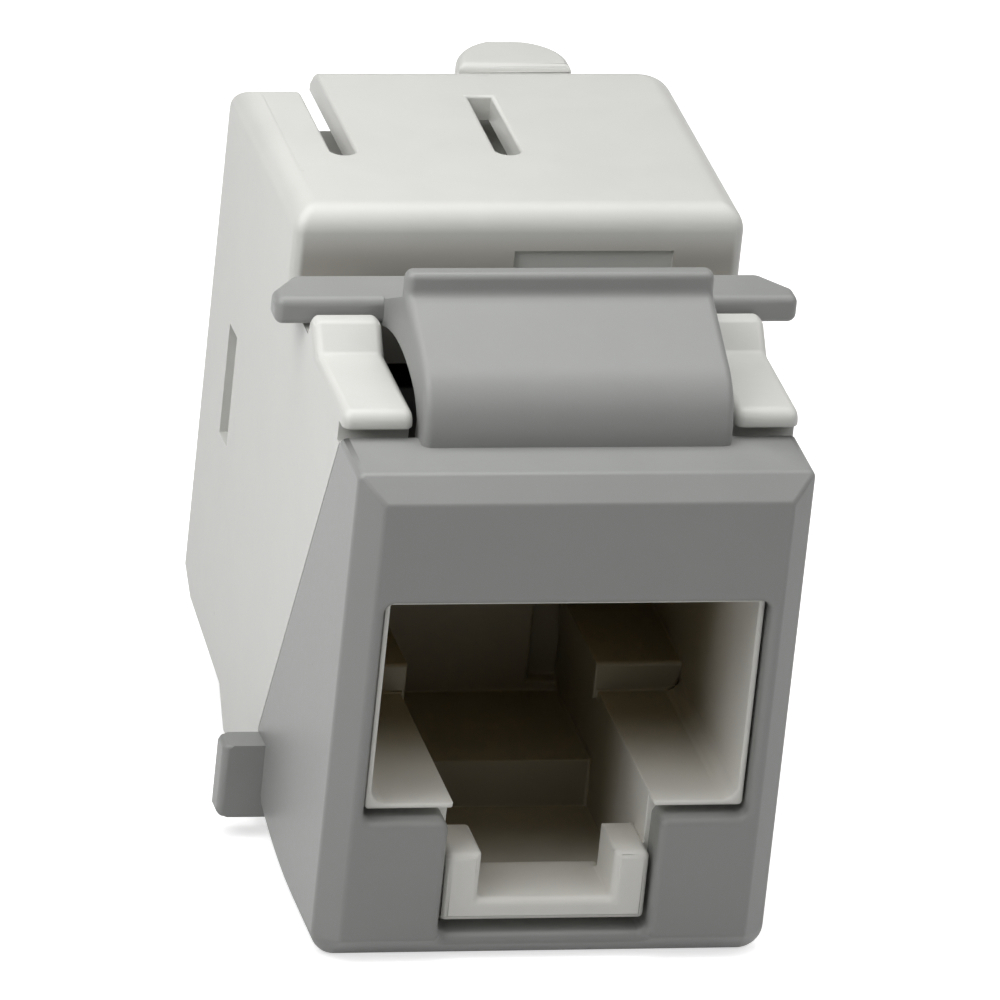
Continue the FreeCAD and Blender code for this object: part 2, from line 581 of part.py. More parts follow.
def make_rear_housing():
    body = new_body("rear_housing")
    width = S["bezel_width"]
    gap = S["seam_gap"]
    foot = S["seam_foot"] + gap
    seam_slope = (S["seam_foot"] - S["flange_depth"]) / (S["bezel_height"] - S["seam_foot_height"])
    brow = S["flange_depth"] + gap + S["step_drop"] * seam_slope
    tip = S["flange_depth"] + gap - S["arm_tip_reach"]
    step = S["bezel_height"] - S["step_drop"]
    recess_front = S["ear_front"] - S["recess_gap"]
    chin = S["chin_height"]
    chin_rise = (S["chin_rear_height"] - chin) / 2
    pad_across(body, [
        (foot, S["belly_bottom"]),
        (S["belly_end"], S["belly_bottom"]),
        (S["belly_end"] + 1.1, chin),
        (S["wall_rear"] - 1.1, chin + chin_rise),
        (S["wall_rear"], S["chin_rear_height"]),
        (S["wall_rear"], BLOCK_TOP - S["roof_wall"]),
        (S["roof_rear"], BLOCK_TOP - S["roof_wall"]),
        (S["roof_rear"], BLOCK_TOP),
        (S["block_front"], BLOCK_TOP),
        (S["block_front"], SADDLE_TOP),
        (recess_front, SADDLE_TOP),
        (recess_front, ARM_RISE_TOP),
        (S["arm_rise_front"] + S["arm_rise_depth"], ARM_RISE_TOP),
        (S["arm_rise_front"], ARM_TOP),
        (tip + S["arm_tip_round"], ARM_TOP, S["arm_tip_round"]),
        (tip, ARM_TOP - S["arm_tip_round"]),
        (tip, ARM_TIP_UNDER),
        (tip + S["arm_groove"], ARM_TIP_UNDER),
        (tip + S["arm_groove"], step),
        (brow, step),
        (foot, S["seam_foot_height"]),
    ], width)
    half = width / 2

    def upright_edge(point):
        return near(abs(point.x), half) and near(point.y, S["block_front"]) and point.z > SADDLE_TOP.value - 1e-3

    def roof_corner(point):
        return near(point.x, half) and near(point.y, S["roof_rear"])

    round_edges(body, upright_edge, S["block_side_round"])
    round_edges(body, roof_corner, S["roof_corner"])

    def block_edge(point):
        at_rear = near(point.y, S["roof_rear"]) and point.x < half.value - S["roof_corner"].value + 1e-3
        return near(point.z, BLOCK_TOP) and not at_rear

    round_edges(body, block_edge, S["block_round"])
    cut(body, "XY", rectangle(S["relief_left"], S["block_front"] - OVERCUT, S["relief_right"],
                              S["block_front"] + S["relief_depth"]),
        BLOCK_TOP - S["relief_drop"] - SADDLE_TOP + OVERCUT / 2, SADDLE_TOP - OVERCUT / 2)
    arm_left, arm_right = LATCH_LEFT - S["latch_gap"], LATCH_RIGHT + S["latch_gap"]
    cut(body, "XY", rectangle(arm_left, 0, arm_right, S["block_front"]),
        BLOCK_TOP, S["saddle_roof"])

    def arm_edge(point):
        at_side = near(abs(point.x), half) or near(point.x, arm_left) or near(point.x, arm_right)
        on_top = point.z > ARM_TIP_UNDER.value - 1e-3
        return at_side and on_top and point.y < recess_front.value + 1e-3 and (
            point.z > ARM_TOP.value - S["arm_tip_round"].value - 1e-3 or near(point.y, tip))

    round_edges(body, arm_edge, S["arm_round"])
    inner = width - S["side_wall"] * 2
    roof = BLOCK_TOP - S["roof_wall"]
    floor = S["belly_bottom"] + S["belly_wall"]
    cut_across(body, [
        (0, floor),
        (S["belly_end"], floor),
        (S["belly_end"] + 1.1, chin + S["belly_wall"]),
        (S["wall_rear"] - 1.1, chin + chin_rise + S["belly_wall"]),
        (S["wall_rear"] + OVERCUT, S["chin_rear_height"] + S["belly_wall"]),
        (S["roof_rear"] + OVERCUT, roof),
        (S["block_front"] + S["side_wall"], roof),
        (S["block_front"] + S["side_wall"], S["cavity_top"] + 0.9),
        (0, S["cavity_top"] + 0.9),
    ], inner)
    slot_half = S["roof_slot_width"] / 2
    slot_front = S["roof_slot_front"] + slot_half
    deep = S["roof_wall"] + OVERCUT * 2
    for middle, rear in ((S["roof_slot_side"], S["roof_rear"] + OVERCUT), (S["roof_slot_mid"], S["roof_slot_end"])):
        cut(body, "XY", [
            (middle - slot_half, slot_front, slot_half * 1.01),
            (middle + slot_half, slot_front),
            (middle + slot_half, rear),
            (middle - slot_half, rear),
        ], deep, roof - OVERCUT)
    cut(body, "YZ", [
        (S["roof_left_rear"], BLOCK_TOP + OVERCUT),
        (S["roof_left_rear"], BLOCK_TOP, -S["wall_corner"] * 1.05),
        (S["wall_rear"], BLOCK_TOP - S["wall_corner"]),
        (S["roof_rear"] + OVERCUT, BLOCK_TOP - S["wall_corner"]),
        (S["roof_rear"] + OVERCUT, BLOCK_TOP + OVERCUT),
    ], width + S["roof_slot_side"], -width)
    cut(body, "XY", rectangle(-width, S["window_front"], width, S["window_front"] + S["window_depth"]),
        S["window_height"], S["window_bottom"])
    cut(body, "XY", rectangle(-inner / 2 - S["snap_reach"] - S["cap_gap"], S["window_front"],
                              inner / 2 + S["snap_reach"] + S["cap_gap"], S["wall_rear"] + OVERCUT),
        S["window_height"], S["window_bottom"])
    return body


# Insert: the plug's socket with its ledges, stops and latch catch --------------------------------

def make_port_insert():
    body = new_body("port_insert")
    outer = S["bezel_width"] - S["side_wall"] * 2
    stem = S["slot_width"] / 2 + S["side_wall"]
    pad(body, "XZ", mirrored([
        (stem, S["slot_bottom"]),
        (stem, S["insert_foot"]),
        (outer / 2, S["insert_foot"]),
        (outer / 2, S["insert_roof"]),
    ]), S["insert_rear"] - S["bezel_wall"], S["bezel_wall"])
    pad(body, "XZ", centred(S["aperture_width"] - S["liner_gap"] * 2, S["ledge_height"] - S["ledge_lip"],
                            S["aperture_top"] - S["liner_gap"]),
        S["bezel_wall"] - S["liner_front"], S["liner_front"])
    half_port = S["port_width"] / 2
    half_channel = S["channel_width"] / 2
    corner = S["port_corner"]
    cut(body, "XZ", [
        (corner - half_port, S["ledge_height"]),
        (half_port - corner, S["ledge_height"], corner),
        (half_port, S["ledge_height"] + corner),
        (half_port, S["port_top"]),
        (-half_port, S["port_top"]),
        (-half_port, S["ledge_height"] + corner, corner),
    ], S["port_depth"])
    cut(body, "XZ", centred(S["channel_width"], S["channel_floor"], S["port_top"]), S["channel_step"])
    cut(body, "XZ", centred(S["channel_width"], S["channel_rear_floor"], S["port_top"]),
        S["port_depth"] - S["channel_step"] + OVERCUT / 4, S["channel_step"] - OVERCUT / 4)
    cut(body, "XY", rectangle(-stem - OVERCUT, S["channel_step"] + S["insert_skin"],
                              stem + OVERCUT, S["insert_rear"] + OVERCUT),
        S["channel_rear_floor"] - S["insert_skin"] + OVERCUT, -OVERCUT)
    cut(body, "XY", rectangle(-S["contact_pitch"] * 4.2, S["contact_front"] - 0.4,
                              S["contact_pitch"] * 4.2, S["port_depth"]),
        S["insert_roof"] - S["port_top"] + OVERCUT, S["port_top"] - OVERCUT / 2)
    cut(body, "XZ", rectangle(S["recess_left"], S["recess_bottom"], S["recess_left"] + S["recess_width"],
                              S["port_top"]), S["recess_depth"] + OVERCUT / 4, S["port_depth"] - OVERCUT / 4)
    for side in (-1, 1):
        near_x, far_x = S["stop_inner"] * side, half_port * side + 0.1 * side
        left, right = (near_x, far_x) if side > 0 else (far_x, near_x)
        pad(body, "XZ", rectangle(left, S["ledge_height"] - 0.3, right, S["ledge_height"] + S["stop_height"]),
            S["port_depth"] - S["stop_front"] + 0.1, S["stop_front"])
        post_in, post_out = S["catch_gap"] / 2 * side, S["catch_width"] / 2 * side
        left, right = (post_in, post_out) if side > 0 else (post_out, post_in)
        pad(body, "XZ", rectangle(left, S["catch_bottom"], right, S["catch_top"]),
            S["catch_depth"], S["catch_front"])
    pad(body, "XZ", centred(S["catch_gap"] + 0.2, S["catch_bottom"],
                            S["catch_bottom"] + S["catch_bar_height"]),
        S["catch_bar_depth"], S["catch_front"])

    def catch_edge(point):
        inside = abs(point.x) < S["channel_width"].value / 2 - 1e-3 or near(abs(point.x), S["catch_width"] / 2)
        on_post = near(point.z, S["catch_top"]) and inside
        return near(point.y, S["catch_front"]) or (on_post and point.y < S["bezel_wall"].value + 1e-3)

    round_edges(body, catch_edge, S["catch_round"])
    return body


# Spring contacts and the carrier that spaces them -------------------------------------------------

def contact_place(index):
    return (index - (CONTACTS - 1) / 2) * S["contact_pitch"]


def make_contact(index):
    body = new_body(f"contact_{index + 1}")
    gauge = S["contact_gauge"]
    low = S["contact_run"] - gauge
    bend = gauge * 1.5
    front = S["contact_front"]
    tip_y, tip_z = S["contact_tip_depth"], S["contact_tip_height"]
    tail = S["insert_rear"] + S["board_thickness"]
    sketch = sketch_on(body, "YZ", contact_place(index) - S["contact_width"] / 2)
    draw(sketch, [
        (tail, low),
        (tail, S["contact_run"]),
        (front + bend, S["contact_run"], bend),
        (front + bend * 0.75, S["contact_run"] - bend * 1.95),
        (tip_y - gauge, tip_z),
        (tip_y, tip_z + gauge),
        (front + bend * 1.1, S["contact_run"] - bend * 1.33, -gauge * 0.55),
        (front + bend, low),
    ])
    feature = body.newObject("PartDesign::Pad", f"{body.Name}_pad")
    feature.Profile = sketch
    bind(feature, "Length", S["contact_width"])
    return body


def make_contact_carrier():
    body = new_body("contact_carrier")
    outer = S["bezel_width"] - S["side_wall"] * 2
    front = S["bezel_wall"]
    pad(body, "XZ", centred(outer, S["insert_roof"], S["cavity_top"]), S["insert_rear"] - front, front)
    for index in range(CONTACTS):
        place = contact_place(index)
        half = S["contact_width"] / 2 + S["carrier_groove_gap"]
        cut(body, "XZ", rectangle(place - half, S["insert_roof"] - OVERCUT, place + half, S["contact_run"]),
            S["insert_rear"], S["contact_front"] - 0.3)
    return body


# Circuit board, wire blades and the block that holds the wires -------------------------------------

def wire_place(column):
    return (column - (WIRES_PER_ROW - 1) / 2) * S["wire_pitch"]


def inner_width():
    return S["bezel_width"] - S["side_wall"] * 2


def tower_width():
    """Width left for the wire block between the wire cap's arms."""
    return inner_width() - (S["cap_side_gap"] + S["cap_arm"] + S["cap_gap"]) * 2


def make_circuit_board():
    body = new_body("circuit_board")
    pad(body, "XZ", centred(inner_width() - S["board_gap"] * 2, S["board_bottom"], S["board_top"]),
        S["board_thickness"], S["insert_rear"])
    deep = S["board_thickness"] + OVERCUT * 2
    start = S["insert_rear"] - OVERCUT
    for index in range(CONTACTS):
        place = contact_place(index)
        half = S["contact_width"] / 2
        cut(body, "XZ", rectangle(place - half, S["contact_run"] - S["contact_gauge"],
                                  place + half, S["contact_run"]), deep, start)
    for column in range(WIRES_PER_ROW):
        for height in (S["blade_lower_height"], S["blade_upper_height"]):
            place = wire_place(column)
            cut(body, "XZ", rectangle(place - S["pin_width"] / 2, height - S["blade_gauge"] / 2,
                                      place + S["pin_width"] / 2, height + S["blade_gauge"] / 2),
                deep, start)
    return body


def make_wire_blade(number, column, height):
    body = new_body(f"wire_blade_{number}")
    place = wire_place(column)
    pin = S["pin_width"] / 2
    half = S["blade_width"] / 2
    slit = S["blade_slit"] / 2
    foot = S["insert_rear"] + S["board_thickness"]
    rear = S["blade_rear"]
    right_side = [
        (pin, S["insert_rear"]),
        (pin, foot),
        (half, foot),
        (half, rear - half * 0.5),
        (half * 0.75, rear),
        (slit * 2.2, rear),
        (slit, rear - half * 0.8),
        (slit, foot + half * 1.3),
    ]
    corners = [(place + u, v) for u, v in right_side]
    corners += [(place - u, v) for u, v in reversed(right_side)]
    pad(body, "XY", corners, S["blade_gauge"], height - S["blade_gauge"] / 2)
    return body


def make_wire_block():
    body = new_body("wire_block")
    front = S["insert_rear"] + S["board_thickness"]
    depth = S["tower_rear"] - front
    pad(body, "XZ", centred(tower_width(), S["tower_bottom"], S["tower_top"]), depth, front)
    middle = (S["tower_bottom"] + S["tower_top"]) / 2
    for column in range(WIRES_PER_ROW):
        place = wire_place(column)
        for row, height in enumerate((S["blade_lower_height"], S["blade_upper_height"])):
            low = S["tower_bottom"] - OVERCUT if row == 0 else middle + S["tower_rib"] / 2
            high = middle - S["tower_rib"] / 2 if row == 0 else S["tower_top"] + OVERCUT
            half = S["tower_slot_width"] / 2
            cut(body, "XZ", rectangle(place - half, low, place + half, high), depth, S["tower_slot_front"])
            half = S["blade_width"] / 2
            cut(body, "XZ", rectangle(place - half, height - S["blade_gauge"] / 2,
                                      place + half, height + S["blade_gauge"] / 2), depth + OVERCUT, front)
    return body


# Wire cap: presses the wires onto the blades and holds the cable -----------------------------------

def make_wire_cap():
    body = new_body("wire_cap")
    front = S["tower_rear"] + S["cap_gap"]
    plate_rear = front + S["cap_plate"]
    arm_in = tower_width() / 2 + S["cap_gap"]
    plate_width = arm_in * 2 + S["cap_arm"]
    pad(body, "XZ", centred(plate_width, S["cap_bottom"], S["cap_top"]), S["cap_plate"], front)

    def plate_edge(point):
        return near(point.y, plate_rear)

    round_edges(body, plate_edge, S["cap_round"])
    middle = (S["tower_bottom"] + S["tower_top"]) / 2
    bore = body.newObject("PartDesign::Pocket", "cable_bore")
    ring = sketch_on(body, "XZ", front - OVERCUT)
    circle = Part.Circle(FreeCAD.Vector(0, middle.value, 0), FreeCAD.Vector(0, 0, 1), S["cap_bore_radius"].value)
    ring.addGeometry(circle, False)
    for kind, length in (("DistanceX", as_length(0)), ("DistanceY", middle)):
        number = ring.addConstraint(Sketcher.Constraint(kind, -1, 1, 0, 3, length.value))
        ring.setExpression(f"Constraints[{number}]", length.formula)
    number = ring.addConstraint(Sketcher.Constraint("Radius", 0, S["cap_bore_radius"].value))
    ring.setExpression(f"Constraints[{number}]", S["cap_bore_radius"].formula)
    bore.Profile = ring
    bind(bore, "Length", S["cap_plate"] + OVERCUT * 2)
    for column in range(WIRES_PER_ROW):
        place = wire_place(column)
        half_rib = S["pusher_width"] / 2
        for low, high in ((S["cap_bottom"], S["blade_lower_height"] - 1.0), (S["blade_upper_height"] + 1.0, S["tower_top"])):
            pad(body, "XZ", rectangle(place - half_rib, low, place + half_rib, high),
                S["pusher_depth"] + S["cap_gap"] + 0.1, front - S["cap_gap"] - S["pusher_depth"])
    inner_wall = S["bezel_width"] / 2 - S["side_wall"]
    for side in (-1, 1):
        left, right = (arm_in, arm_in + S["cap_arm"]) if side > 0 else (-arm_in - S["cap_arm"], -arm_in)
        low, high = S["window_bottom"] + 0.2, S["window_bottom"] + S["window_height"] - 0.2
        pad(body, "XZ", rectangle(left, low, right, high),
            front - S["window_front"] + 0.1, S["window_front"] - 0.1)
        nib_in = arm_in + S["cap_arm"] / 2
        nib_out = inner_wall + S["snap_reach"]
        left, right = (nib_in, nib_out) if side > 0 else (-nib_out, -nib_in)
        nib_front = S["window_front"] + 0.1
        pad(body, "XZ", rectangle(left, low, right, high), S["window_depth"] - 0.2, nib_front)
    tab_front = S["roof_rear"] + S["cap_gap"]
    tab_low = S["cap_top"] - S["tab_root"]
    tab_left, tab_right = S["tab_left"], S["tab_left"] + S["tab_width"]
    corner = S["tab_corner"]

    def tab_outline(start):
        return [
            (tab_left, start),
            (tab_right, start),
            (tab_right, S["tab_rear"] - corner, corner * 1.1),
            (tab_right - corner, S["tab_rear"]),
            (tab_left + corner * 0.9, S["tab_rear"], corner * 1.5),
            (tab_left, S["tab_rear"] - corner * 1.4),
        ]

    pad(body, "XY", tab_outline(tab_front), S["tab_top"] - tab_low, tab_low)
    pad(body, "XY", tab_outline(plate_rear - S["cap_round"] * 2), S["tab_root"], tab_low)

    def tab_edge(point):
        return near(point.z, S["tab_top"])

    round_edges(body, tab_edge, S["tab_round"])
    return body


parts = [make_front_housing(), make_rear_housing(), make_port_insert(), make_contact_carrier(),
         make_circuit_board(), make_wire_block(), make_wire_cap()]
for index in range(CONTACTS):
    parts.append(make_contact(index))
for number in range(2 * WIRES_PER_ROW):
    row_height = S["blade_upper_height"] if number < WIRES_PER_ROW else S["blade_lower_height"]
    parts.append(make_wire_blade(number + 1, number % WIRES_PER_ROW, row_height))
doc.recompute()

for item in doc.Objects:
    if "Invalid" in item.State or "Error" in item.State:
        raise RuntimeError(f"{item.Label} failed: {item.State}")
for part in parts:
    shape = part.Shape
    if shape.isNull() or not shape.isValid() or len(shape.Solids) != 1:
        raise RuntimeError(f"{part.Label} is not one valid solid")

os.makedirs("parts", exist_ok=True)
for part in parts:
    part.Shape.exportStep(f"parts/{part.Label}.step")
    box = part.Shape.BoundBox
    print(f"{part.Label:16s} {part.Shape.Volume:9.2f} mm3  X {box.XMin:6.2f} {box.XMax:6.2f}"
          f"  Y {box.YMin:6.2f} {box.YMax:6.2f}  Z {box.ZMin:6.2f} {box.ZMax:6.2f}")
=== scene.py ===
"""Keystone jack: finishes, rounded mouldings, stage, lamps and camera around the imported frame.

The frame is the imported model's own: the origin is at the bottom centre of the bezel's face, +X to
the right seen from the front, +Y towards the rear, +Z up. Lengths are in metres. Only the zones of
the rounded edges, names that end in _mm, and the camera's lens and sensor are in millimetres.
"""

import json
import math

import bmesh
import bpy
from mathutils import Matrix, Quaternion, Vector
from mathutils.bvhtree import BVHTree


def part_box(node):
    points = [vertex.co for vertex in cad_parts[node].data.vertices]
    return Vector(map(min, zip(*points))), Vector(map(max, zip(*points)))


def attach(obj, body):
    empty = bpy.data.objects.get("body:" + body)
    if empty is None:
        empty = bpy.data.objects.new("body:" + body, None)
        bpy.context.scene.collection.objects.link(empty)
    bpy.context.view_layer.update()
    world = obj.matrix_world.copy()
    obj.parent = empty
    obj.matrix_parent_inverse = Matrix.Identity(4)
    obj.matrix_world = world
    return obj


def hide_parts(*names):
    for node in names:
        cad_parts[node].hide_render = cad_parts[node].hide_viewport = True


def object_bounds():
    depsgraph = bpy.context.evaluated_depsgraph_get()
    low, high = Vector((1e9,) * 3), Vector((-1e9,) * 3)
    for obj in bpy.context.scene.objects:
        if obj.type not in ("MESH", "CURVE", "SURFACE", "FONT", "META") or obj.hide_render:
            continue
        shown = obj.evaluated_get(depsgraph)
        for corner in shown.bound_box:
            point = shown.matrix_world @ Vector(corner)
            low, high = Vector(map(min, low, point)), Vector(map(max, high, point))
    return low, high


MM = 0.001
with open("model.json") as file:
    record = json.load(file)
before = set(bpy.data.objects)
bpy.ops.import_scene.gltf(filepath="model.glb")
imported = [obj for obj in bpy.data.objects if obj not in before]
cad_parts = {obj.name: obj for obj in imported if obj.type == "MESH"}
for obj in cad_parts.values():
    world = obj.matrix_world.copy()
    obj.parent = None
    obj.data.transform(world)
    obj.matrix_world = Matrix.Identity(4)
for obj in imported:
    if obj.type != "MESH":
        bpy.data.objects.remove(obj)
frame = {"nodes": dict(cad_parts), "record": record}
cad_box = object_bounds()


# Shader maths ----------------------------------------------------------------------------------

class Value:
    """A shader socket that can be used in arithmetic."""

    def __init__(self, graph, socket):
        self.graph = graph
        self.socket = socket

    def __add__(self, other):
        return self.graph.maths("ADD", self, other)

    __radd__ = __add__

    def __mul__(self, other):
        return self.graph.maths("MULTIPLY", self, other)

    __rmul__ = __mul__

    def __sub__(self, other):
        return self.graph.maths("SUBTRACT", self, other)

    def __rsub__(self, other):
        return self.graph.maths("SUBTRACT", other, self)

    def larger(self, other):
        """The larger of the two values."""
        return self.graph.maths("MAXIMUM", self, other)

    def between(self, low, high):
        """Runs from low to high as this value runs from 0 to 1."""
        return self * (high - low) + low

    def above(self, edge, softness):
        """0 below the edge, 1 above it, with a soft step between."""
        return self.graph.node("ShaderNodeMapRange", {"interpolation_type": "SMOOTHSTEP"},
                               self, edge - softness, edge + softness, 0.0, 1.0)


class Graph:
    """A node tree that is built node by node."""

    def __init__(self, tree):
        self.tree = tree
        self.tree.nodes.clear()

    def node(self, kind, settings, *inputs, output=0, **named):
        """Adds a node. Its sockets take numbers, colours or Values, and None leaves one alone."""
        made = self.tree.nodes.new(kind)
        for key, setting in settings.items():
            setattr(made, key, setting)
        pairs = list(zip(made.inputs, inputs))
        pairs += [(made.inputs[key], given) for key, given in named.items()]
        for socket, given in pairs:
            if isinstance(given, Value):
                self.tree.links.new(given.socket, socket)
            elif given is not None:
                socket.default_value = given
        return Value(self, made.outputs[output])

    def maths(self, operation, first, second):
        return self.node("ShaderNodeMath", {"operation": operation}, first, second)

    def ray_is(self, kind):
        """1 on rays of this kind, such as "Camera", and 0 on all others."""
        return self.node("ShaderNodeLightPath", {}, output=f"Is {kind} Ray")

    def show(self, kind, shader):
        """Ends the graph with the shader in an output node of this kind."""
        output = self.tree.nodes.new(kind)
        self.tree.links.new(shader.socket, output.inputs["Surface"])


class Finish(Graph):
    """A material whose patterns lie in the piece's own coordinates."""

    def __init__(self, name):
        self.material = bpy.data.materials.new(name)
        self.material.use_nodes = True
        super().__init__(self.material.node_tree)
        self.place = self.node("ShaderNodeTexCoord", {}, output="Object")

    def along(self, axis):
        """How far a point lies from the origin along the axis "X", "Y" or "Z"."""
        return self.node("ShaderNodeSeparateXYZ", {}, self.place, output=axis)

    def noise(self, size_mm, detail=2.0, roughness=0.5, distortion=0.0):
        """Noise from 0 to 1 whose features are about size_mm across."""
        return self.node("ShaderNodeTexNoise", {}, Vector=self.place, Scale=1.0 / (size_mm * MM),
                         Detail=detail, Roughness=roughness, Distortion=distortion)

    def mix(self, share, first, second):
        """The first colour where the share is 0, the second where it is 1."""
        number_sockets = [None] * 5  # those that mix numbers and vectors
        colour_output = 2
        return self.node("ShaderNodeMix", {"data_type": "RGBA"}, share, *number_sockets, first, second,
                         output=colour_output)

    def bump(self, height, strength, distance_mm):
        return self.node("ShaderNodeBump", {}, Strength=strength, Distance=distance_mm * MM,
                         Height=height, output="Normal")

    def surface(self, **sockets):
        """Ends the finish in a Principled shader. In a socket's name, _ stands for a space."""
        named = {key.replace("_", " "): given for key, given in sockets.items()}
        self.show("ShaderNodeOutputMaterial", self.node("ShaderNodeBsdfPrincipled", {}, **named))
        return self.material


def rgb(red, green, blue):
    """Linear colour from display values of 0 to 255, by the sRGB curve."""
    def linear(level):
        level /= 255
        return level / 12.92 if level <= 0.04045 else ((level + 0.055) / 1.055) ** 2.4
    return (linear(red), linear(green), linear(blue), 1.0)


def grey(level):
    """Linear grey, from 0 for black to 1 for white."""
    return (level, level, level, 1.0)


def shade(colour, factor):
    """The colour made darker or lighter."""
    return tuple(channel * factor for channel in colour[:3]) + (1.0,)


# Finishes --------------------------------------------------------------------------------------

BEZEL_GREY = rgb(151, 152, 150)
HOUSING_GREY = rgb(213, 213, 209)
# Colour of the painted shade on the raised block's front wall.
HOUSING_SHADOW = rgb(182, 179, 171)
INSERT_WHITE = rgb(241, 240, 234)
# Colour of the painted shade deep in the socket.
INSERT_SHADOW = rgb(140, 132, 112)
CARRIER_BLACK = rgb(52, 52, 51)
GOLD_WORN = rgb(224, 184, 96)
GOLD_BRIGHT = rgb(240, 205, 122)
TIN_DULL = rgb(196, 196, 192)
TIN_BRIGHT = rgb(222, 222, 218)
MASK_DARK = rgb(22, 78, 48)
MASK_LIGHT = rgb(30, 96, 58)

# Share by which a moulding's tone goes up and down.
MOTTLE = 0.018
# Range of roughness that the flow lines and the grit give a moulding, about its own roughness.
FLOW_SHEEN = 0.06
GRIT_SHEEN = 0.08
# Share of a moulding's relief that is fine grain. The coarser grit is the rest.
FINE_SHARE = 0.6

# Specks: their radius and blur are shares of the spacing, and they show only where a noise of 0 to 1
# is above the rarity.
SPECK_SPACING = 1.9 * MM
SPECK_RADIUS = 0.035
SPECK_BLUR = 0.012
SPECK_RARITY = 0.62
SPECK_SHADE = 0.45
SPECK_STRENGTH = 0.3

# Depths from the bezel's face at which the painted shade in the socket starts, is darkest, and gives
# way to the wire block, and how far that painted shade wanders to and fro.
SOCKET_START = 2.2 * MM
SOCKET_DARKEST = 7.0 * MM
SOCKET_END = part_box("wire_block")[0][1]
SOCKET_END_FADE = 0.1 * MM
SOCKET_WANDER = 1.2 * MM

# The front wall of the raised block takes painted shade between two depths, within a half width
# and under a top. Each has the distance to either side over which the tone fades. The width and its
# fade are compared as squares, so that fade is about 0.1 mm.
WALL_NEAREST = 11.2 * MM
WALL_NEAREST_FADE = 0.1 * MM
WALL_FARTHEST = 11.54 * MM
WALL_FARTHEST_FADE = 0.03 * MM
WALL_HALF_WIDTH = 6.95 * MM
WALL_SIDE_FADE = 1.2 * MM
WALL_TOP = 19.3 * MM
WALL_TOP_FADE = 0.55 * MM


def flow_lines(finish):
    """Slow swirls, such as plastic leaves where it flowed into the mould."""
    return finish.noise(size_mm=2.6, detail=3.0, roughness=0.55, distortion=0.4)


def specks(finish):
    """1 in a few small round specks, 0 elsewhere."""
    distance = finish.node("ShaderNodeTexVoronoi", {"feature": "F1"}, Vector=finish.place,
                           Scale=1 / SPECK_SPACING, output="Distance")
    rare = finish.noise(size_mm=1.3, detail=0.0).above(SPECK_RARITY, softness=0.02)
    return (1 - distance.above(SPECK_RADIUS, softness=SPECK_BLUR)) * rare


def paint_socket_shade(finish, tone):
    """The tone with painted shade, browner and darker with depth until the wire block begins."""
    depth = finish.along("Y") + (flow_lines(finish) - 0.5) * SOCKET_WANDER
    halfway = (SOCKET_START + SOCKET_DARKEST) / 2
    deep = depth.above(halfway, softness=SOCKET_DARKEST - halfway)
    in_socket = 1 - depth.above(SOCKET_END, softness=SOCKET_END_FADE)
    return finish.mix(deep * in_socket, tone, INSERT_SHADOW)


def paint_block_front_shade(finish, tone):
    """Painted shade: the tone browner and darker on the raised block's front wall, not top or sides."""
    across, depth, up = (finish.along(axis) for axis in "XYZ")
    past_nearest = depth.above(WALL_NEAREST, softness=WALL_NEAREST_FADE)
    before_farthest = 1 - depth.above(WALL_FARTHEST, softness=WALL_FARTHEST_FADE)
    middle = 1 - (across * across).above(WALL_HALF_WIDTH ** 2, softness=WALL_SIDE_FADE ** 2)
    low = 1 - up.above(WALL_TOP, softness=WALL_TOP_FADE)
    return finish.mix(past_nearest * before_farthest * middle * low, tone, HOUSING_SHADOW)


def moulded_plastic(name, colour, roughness, paint_shade=None):
    """Satin injection moulding: spark-eroded grain, faint flow mottling and rare dark specks.

    The optional function paints shade into the tone in one part of the moulding.
    """
    finish = Finish(name)
    flow = flow_lines(finish)
    fine = finish.noise(size_mm=0.09, roughness=0.6)
    grit = finish.noise(size_mm=0.28)
    mottled = flow.above(0.5, softness=0.25)
    tone = finish.mix(mottled, shade(colour, 1 - MOTTLE), shade(colour, 1 + MOTTLE))
    if paint_shade:
        tone = paint_shade(finish, tone)
    tone = finish.mix(specks(finish) * SPECK_STRENGTH, tone, shade(colour, SPECK_SHADE))
    rough = flow * FLOW_SHEEN + grit * GRIT_SHEEN + (roughness - (FLOW_SHEEN + GRIT_SHEEN) / 2)
    relief = fine * FINE_SHARE + grit * (1 - FINE_SHARE)
    grain = finish.bump(relief, strength=0.14, distance_mm=0.02)
    return finish.surface(Base_Color=tone, Roughness=rough, Normal=grain)


def gold_plate(name):
    """Gold plating, a little worn, with a fine grain."""
    finish = Finish(name)
    wear = finish.noise(size_mm=0.6, detail=3.0, roughness=0.6)
    tone = finish.mix(wear.above(0.5, softness=0.2), GOLD_WORN, GOLD_BRIGHT)
    grain = finish.bump(finish.noise(size_mm=1 / 9, detail=1.0), strength=0.05, distance_mm=0.01)
    rough = wear.between(0.16, 0.30)
    return finish.surface(Base_Color=tone, Metallic=1.0, Roughness=rough, Normal=grain)


def tin_plate(name):
    """Bright tin, clouded in patches."""
    finish = Finish(name)
    cloud = finish.noise(size_mm=0.5, detail=3.0, roughness=0.6)
    tone = finish.mix(cloud.above(0.5, softness=0.2), TIN_DULL, TIN_BRIGHT)
    relief = finish.bump(cloud, strength=0.08, distance_mm=0.01)
    rough = cloud.between(0.24, 0.42)
    return finish.surface(Base_Color=tone, Metallic=1.0, Roughness=rough, Normal=relief)


def solder_mask(name):
    """Green circuit board lacquer, slightly uneven."""
    finish = Finish(name)
    uneven = finish.noise(size_mm=0.4, detail=1.0)
    tone = finish.mix(uneven.above(0.5, softness=0.25), MASK_DARK, MASK_LIGHT)
    relief = finish.bump(uneven, strength=0.1, distance_mm=0.01)
    rough = uneven.between(0.25, 0.35)
    return finish.surface(Base_Color=tone, Roughness=rough, Normal=relief)


